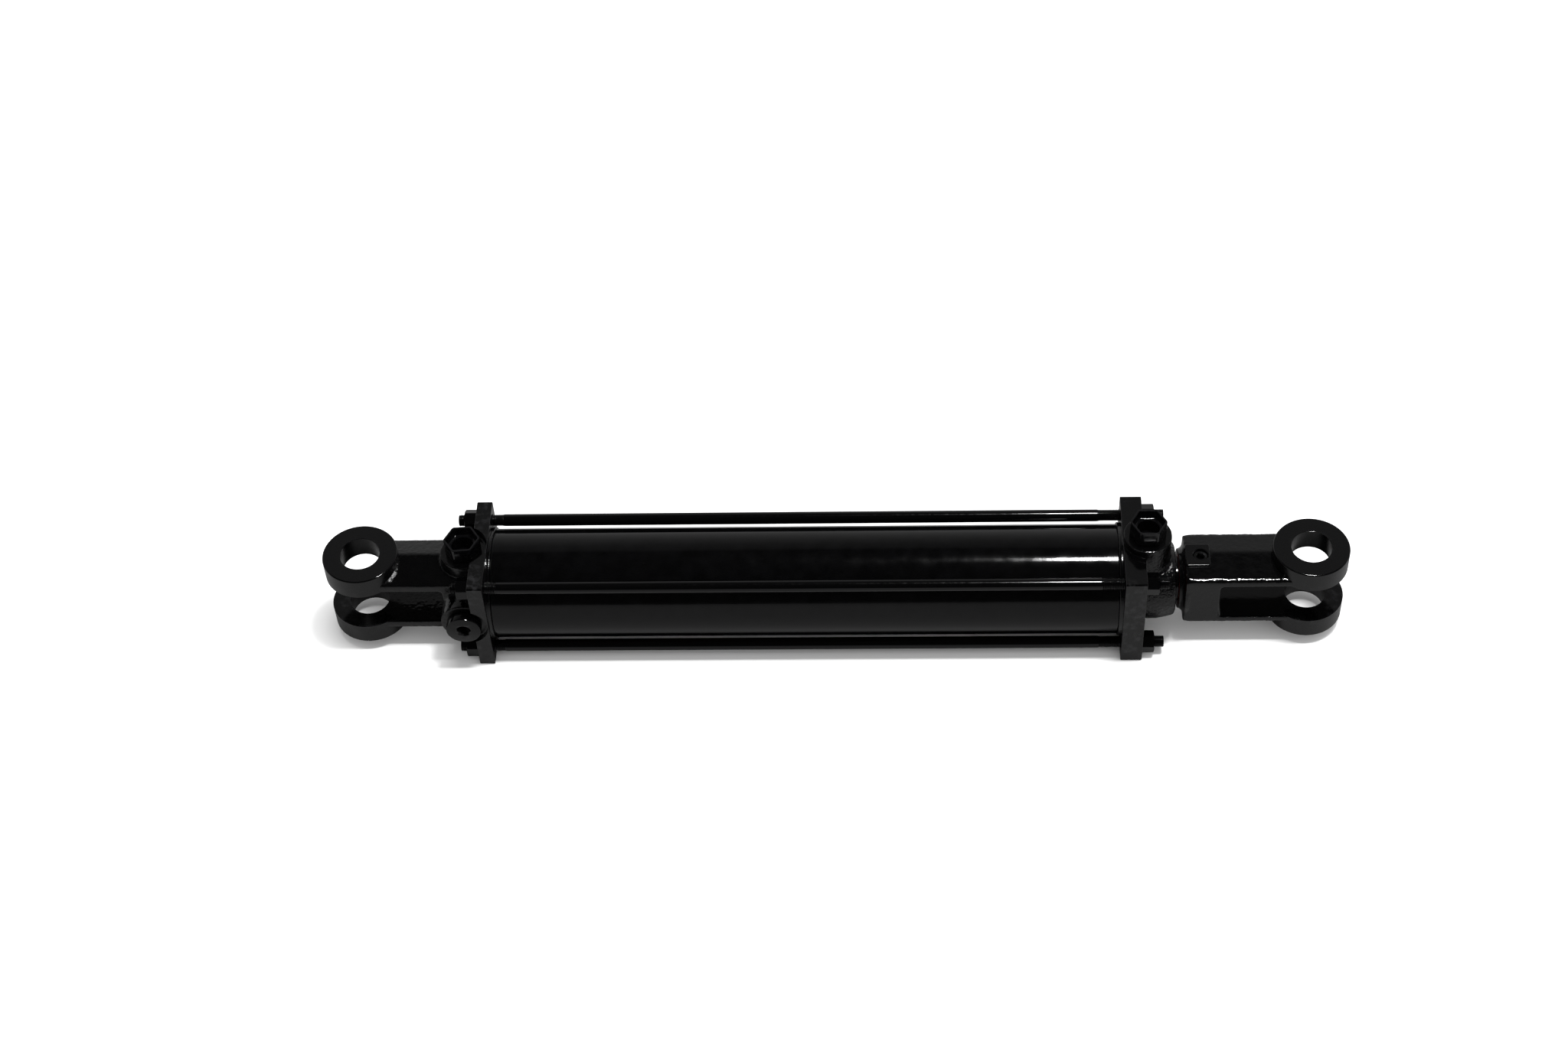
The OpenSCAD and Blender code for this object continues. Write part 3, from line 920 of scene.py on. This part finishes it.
def port_plug(name, node, x, boss_top, turn_deg):
    """Hollow hexagon plug: a crowned rim, a hexagon cup, a round hole below it and a threaded stem."""
    top = boss_top + plug_h
    wall = 1.4
    crown_r = 2.2
    ledge = top - 6.6
    foot_r = 0.9
    centre = (x, 0, 0)
    rim_z = top - 0.5
    across = [wall * (0.06 + 0.88 * k / 6) for k in range(7)]
    steps = [(boss_top + foot_r * (1 - math.cos(t)), foot_r * (1 - math.sin(t))) for t in EDGE_TURNS]
    steps.append((rim_z, 0))
    steps += [(top - (inset - wall / 2) ** 2 / (2 * crown_r), inset) for inset in across]
    steps += [(rim_z, wall), (ledge + 1.0, wall)]
    steps += [(ledge + 1.0 - math.sin(t), wall + 1.0 - math.cos(t)) for t in EDGE_TURNS[1:]]
    apothem = 10.5
    body = stack("body", "Z", steps, hexagon(apothem, turn_deg, 0.97), centre)
    neck_r, root_r, crest_r = 8.2, 8.0, 8.65
    pitch = 1.6
    stem_profile = [(boss_top - 12.0, 7.4), (boss_top - 11.0, neck_r)]
    for k in range(6):
        z = boss_top - 10.6 + k * pitch
        stem_profile += [(z, root_r), (z + 0.7, crest_r), (z + 0.9, crest_r)]
    stem_profile += [(boss_top - 0.6, neck_r), (boss_top + 0.5, neck_r)]
    combine(body, [lathe("stem", "Z", stem_profile, centre, segments=64)], "UNION")
    hole_r = 7.2
    hole = lathe("hole", "Z", [(top - 17.0, 6.6), (top - 16.4, hole_r), (ledge + 0.5, hole_r)], centre)
    combine(body, [hole], "DIFFERENCE")
    body.name = name
    return place(body, node, "black_plastic", sharp_deg=35)


def socket_plug():
    """Steel plug with a chamfered head, a broached hexagon socket and a groove for its ring."""
    face = -side_plug_low.y
    under = base_boss_front
    head_r = (side_plug_high.x - side_plug_low.x) / 2
    edge = 0.8
    neck_r, groove_r = 8.6, 10.25
    centre = (base_port_x, 0, 0)
    head = lathe("head", "F", [(under + 1.8, head_r - 0.2), (under + 2.0, head_r), (face - edge, head_r),
                               (face - edge * 0.3, head_r - edge * 0.3), (face, head_r - edge)], centre)
    neck = lathe("neck", "F", [(under - 12.0, 7.6), (under - 11.0, neck_r), (under + 2.0, neck_r)], centre)
    rim = lathe("rim", "F", [(under, head_r), (under + 2.2, head_r)], centre)
    groove = lathe("groove", "F", [(under - 1, neck_r), (under - 1, groove_r),
                                   (under + 1.8, groove_r), (under + 1.8, neck_r)], centre, loop=True)
    combine(head, [neck, rim], "UNION")
    socket = stack("socket", "F", [(face - 6.0, 0), (face + 1, 0)], hexagon(4.0, 0, 1.0), centre)
    entry = lathe("entry", "F", [(face - 0.9, 3.9), (face + 0.3, 5.2)], centre)
    combine(head, [groove, socket, entry], "DIFFERENCE")
    head.name = "side_socket_plug"
    return place(head, "side_port_plug", "black_enamel_steel", sharp_deg=32)


def set_screw():
    """Socket set screw with a chamfered rim, sunk a little into its pad."""
    low, high = node_box("clevis_set_screw")
    centre = (screw_x, 0, 0)
    edge = 0.5
    body = lathe("body", "Z", [(low.z, screw_r - 1.6), (low.z + 1.6, screw_r), (high.z - edge, screw_r),
                               (high.z, screw_r - edge)], centre, segments=64)
    socket = stack("socket", "Z", [(high.z - 4.0, 0), (high.z + 1, 0)], hexagon(2.4, 0, 1.0), centre)
    entry = lathe("entry", "Z", [(high.z - 0.4, 2.3), (high.z + 0.2, 3.0)], centre, segments=48)
    combine(body, [socket, entry], "DIFFERENCE")
    body.name = "set_screw"
    return place(body, "clevis_set_screw", "black_enamel_steel", sharp_deg=32)


# ---------------------------------------------------------------- assembly

def dress_cad_nodes():
    """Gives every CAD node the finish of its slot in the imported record."""
    for part in frame["record"]["subparts"]:
        mesh = frame["nodes"][part["node"]].data
        mesh.materials.clear()
        mesh.materials.append(FINISH[part["material_slot"]])


# ---------------------------------------------------------------- stage, light and camera

FLOOR_Z = min(base_low.z, head_low.z) * MM


def make_floor():
    """Pale paper, which reflections see darker than the camera does."""
    half = 8.0
    seen, reflected = 0.58, 0.15
    corners = [(-half, -half), (half, -half), (half, half), (-half, half)]
    mesh = bpy.data.meshes.new("floor")
    mesh.from_pydata([(x, y, FLOOR_Z) for x, y in corners], [], [(0, 1, 2, 3)])
    paper = bpy.data.materials.new("floor_paper")
    paper.use_nodes = True
    surface = paper.node_tree.nodes["Principled BSDF"]
    path = paper.node_tree.nodes.new("ShaderNodeLightPath")
    shade = paper.node_tree.nodes.new("ShaderNodeMix")
    shade.data_type = "RGBA"
    shade.inputs[MIX_A].default_value = (seen, seen, seen, 1)
    shade.inputs[MIX_B].default_value = (reflected, reflected, reflected, 1)
    paper.node_tree.links.new(path.outputs["Is Glossy Ray"], shade.inputs["Factor"])
    paper.node_tree.links.new(shade.outputs[MIX_RESULT], surface.inputs["Base Color"])
    surface.inputs["Roughness"].default_value = 0.9
    surface.inputs["Specular IOR Level"].default_value = 0.1
    mesh.materials.append(paper)
    floor = bpy.data.objects.new("floor", mesh)
    bpy.context.scene.collection.objects.link(floor)


def make_world():
    """A pale studio: a backdrop that fades upwards behind the object and a dark room above and in front.

    The floor sees a paler room instead, lighter towards +X, and the camera sees white.
    """
    sideways_wrap = 0.35
    room_slope, room_level = 0.55, 1.3
    # Share of the half turn from the backdrop's foot, over the top, to the front, and its brightness
    stops = [(0.0, 0.5), (0.12, 0.38), (0.25, 0.18), (0.315, 0.12), (0.35, 0.025), (0.97, 0.02), (1.0, 0.1)]
    world = bpy.data.worlds.new("studio")
    bpy.context.scene.world = world
    world.use_nodes = True
    tree = world.node_tree
    new = tree.nodes.new
    link = tree.links.new
    background = tree.nodes["Background"]
    split = new("ShaderNodeSeparateXYZ")
    link(new("ShaderNodeTexCoord").outputs["Generated"], split.inputs["Vector"])
    side = new("ShaderNodeMath")
    side.operation = "ABSOLUTE"
    link(split.outputs["X"], side.inputs[0])
    wrap = new("ShaderNodeMath")
    wrap.operation = "MULTIPLY_ADD"
    link(side.outputs[0], wrap.inputs[0])
    wrap.inputs[1].default_value = sideways_wrap
    link(split.outputs["Y"], wrap.inputs[2])
    climb = new("ShaderNodeMath")
    climb.operation = "ARCTAN2"
    link(split.outputs["Z"], climb.inputs[0])
    link(wrap.outputs[0], climb.inputs[1])
    share = new("ShaderNodeMath")
    share.operation = "DIVIDE"
    link(climb.outputs[0], share.inputs[0])
    share.inputs[1].default_value = math.pi
    levels = new("ShaderNodeValToRGB")
    link(share.outputs[0], levels.inputs["Fac"])
    ramp_stops = levels.color_ramp.elements
    while len(ramp_stops) < len(stops):
        ramp_stops.new(0.5)
    for stop, (position, level) in zip(ramp_stops, stops):
        stop.position = position
        stop.color = (level, level, level, 1)
    path = new("ShaderNodeLightPath")
    for_floor = new("ShaderNodeMix")
    for_floor.data_type = "RGBA"
    link(path.outputs["Is Diffuse Ray"], for_floor.inputs["Factor"])
    link(levels.outputs["Color"], for_floor.inputs[MIX_A])
    room = new("ShaderNodeMath")
    room.operation = "MULTIPLY_ADD"
    link(split.outputs["X"], room.inputs[0])
    room.inputs[1].default_value = room_slope
    room.inputs[2].default_value = room_level
    link(room.outputs[0], for_floor.inputs[MIX_B])
    for_camera = new("ShaderNodeMix")
    for_camera.data_type = "RGBA"
    link(path.outputs["Is Camera Ray"], for_camera.inputs["Factor"])
    link(for_floor.outputs[MIX_RESULT], for_camera.inputs[MIX_A])
    for_camera.inputs[MIX_B].default_value = (1, 1, 1, 1)
    link(for_camera.outputs[MIX_RESULT], background.inputs["Color"])


def make_lights():
    """A long overhead strip for the floor and its shadow, and a small ceiling panel for the gloss.

    The panel is hidden from the camera, and the strip from reflections.
    """
    strip_irradiance = 2.2
    strip_height = 12.0
    panel_radiance = 180
    panel_height = 2.46

    strip = bpy.data.lights.new("overhead", "AREA")
    strip.shape = "RECTANGLE"
    strip.size = 5.5
    strip.size_y = 0.5
    strip.energy = strip_irradiance * math.pi * strip_height ** 2
    overhead = bpy.data.objects.new("overhead", strip)
    overhead.location = (1.65, 0, strip_height)
    overhead.visible_glossy = False
    bpy.context.scene.collection.objects.link(overhead)

    panel = bpy.data.lights.new("ceiling_panel", "AREA")
    panel.shape = "RECTANGLE"
    panel.size = 0.42
    panel.size_y = 0.25
    panel.energy = panel_radiance * math.pi * panel.size * panel.size_y
    ceiling = bpy.data.objects.new("ceiling_panel", panel)
    ceiling.location = (0.79, 0.04, panel_height)
    ceiling.visible_camera = False
    bpy.context.scene.collection.objects.link(ceiling)


def make_camera():
    """Camera at the height, distance and slight turn of the viewpoint, with a 63 mm lens."""
    position = (0.36233, -1.15377, 1.36764)
    lift, turn, roll = math.radians(48.55), math.radians(-4.17), math.radians(-3.59)
    ahead = Vector((math.sin(turn) * math.cos(lift), math.cos(turn) * math.cos(lift), -math.sin(lift)))
    right = ahead.cross(Vector((0, 0, 1))).normalized()
    up = right.cross(ahead)
    x_axis = math.cos(roll) * right + math.sin(roll) * up
    y_axis = math.cos(roll) * up - math.sin(roll) * right
    data = bpy.data.cameras.new("camera")
    data.lens = 62.73
    data.sensor_width = 36.0
    data.clip_end = 50.0
    camera = bpy.data.objects.new("camera", data)
    turned = Matrix((x_axis, y_axis, -ahead)).transposed().to_4x4()
    camera.matrix_world = Matrix.Translation(position) @ turned
    bpy.context.scene.collection.objects.link(camera)
    bpy.context.scene.camera = camera


make_camera()
dress_cad_nodes()
base_casting()
head_casting()
rod_clevis()
tube()
tie_rods()
nut_set("base_nut_set", "base_nuts", 30.0)
nut_set("head_nut_set", "head_nuts", 40.5)
port_plug("base_plug_cap", "base_port_plug", base_port_x, base_boss_top, 4.0)
port_plug("head_plug_cap", "head_port_plug", head_port_x, head_boss_top, 0.0)
socket_plug()
set_screw()
make_floor()
make_world()
make_lights()
bpy.context.scene.view_settings.view_transform = "Standard"
